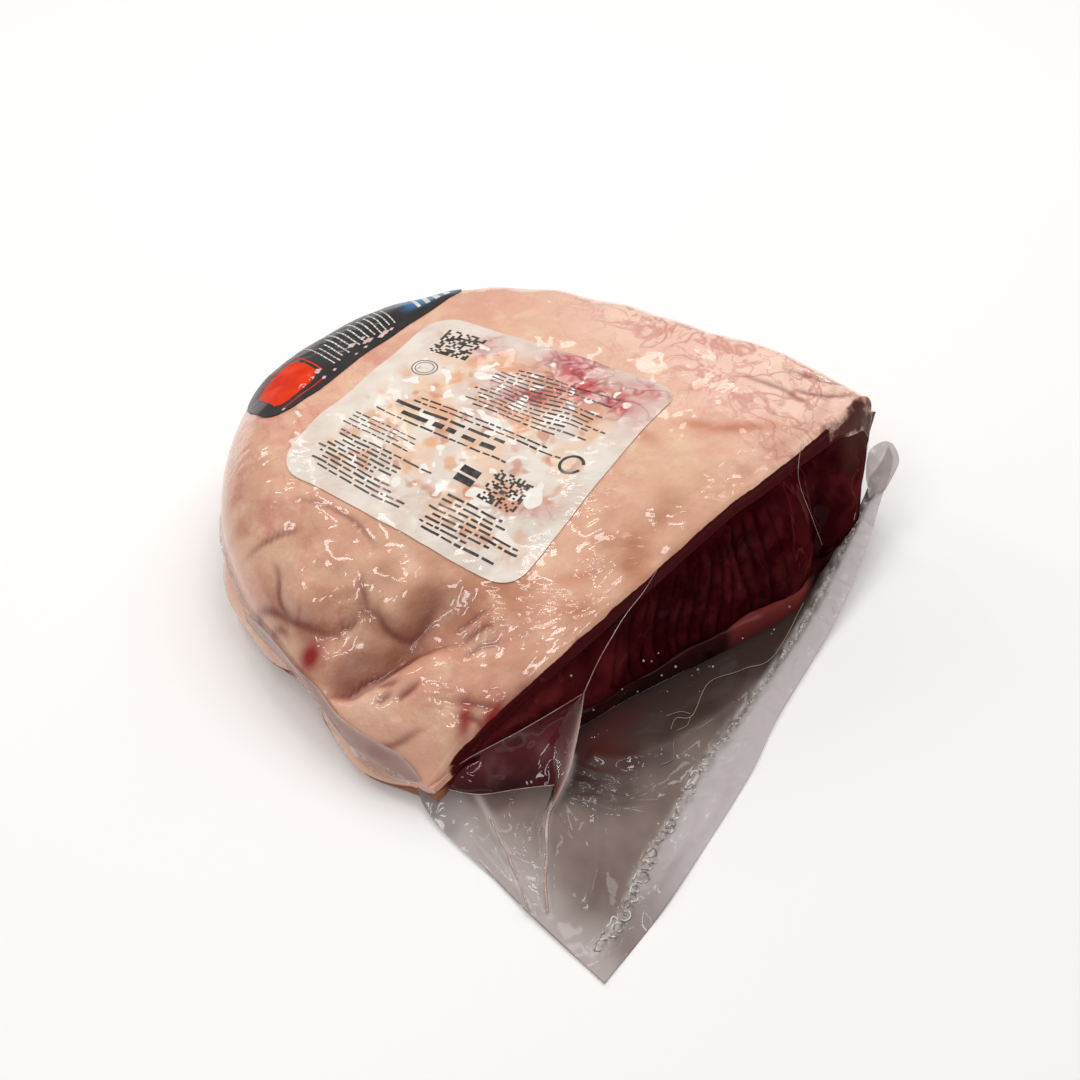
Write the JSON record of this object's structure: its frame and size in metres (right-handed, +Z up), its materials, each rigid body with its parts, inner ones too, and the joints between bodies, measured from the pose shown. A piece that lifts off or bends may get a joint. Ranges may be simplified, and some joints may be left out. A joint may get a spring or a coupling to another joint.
{
  "type": "vacuum packed raw beef rump cap",
  "caption": "Raw beef rump cap with its thick fat on top and a straight dark cut, vacuum packed in clear film whose flat empty end spreads out in front of the cut.",
  "frame": {"origin": "centre of the bounding box on the surface it lies on", "axes": "+Z up, +X the way the straight cut faces, towards the mouth of the bag, +Y along the cut to its high far corner"},
  "size_m": [0.2714, 0.242, 0.0668],
  "materials": {
    "fat": "creamy pink fat under tight clear film, glossy",
    "lean": "very dark maroon lean with faint pale fibres, moist",
    "juice": "dark red meat juice, clear and wet",
    "film": "clear barrier film, wrinkled, glossy",
    "label_paper": "cream printed sheet soaked with pink and peach stains",
    "sticker_print": "charcoal printed sticker with an orange-red field"
  },
  "bodies": {
    "root": {"fat_cap": "fat", "muscle": "lean", "purge": "juice", "bag_tail": "film", "bag_seam": "film", "label": "label_paper", "sticker": "sticker_print"}
  },
  "joints": []
}
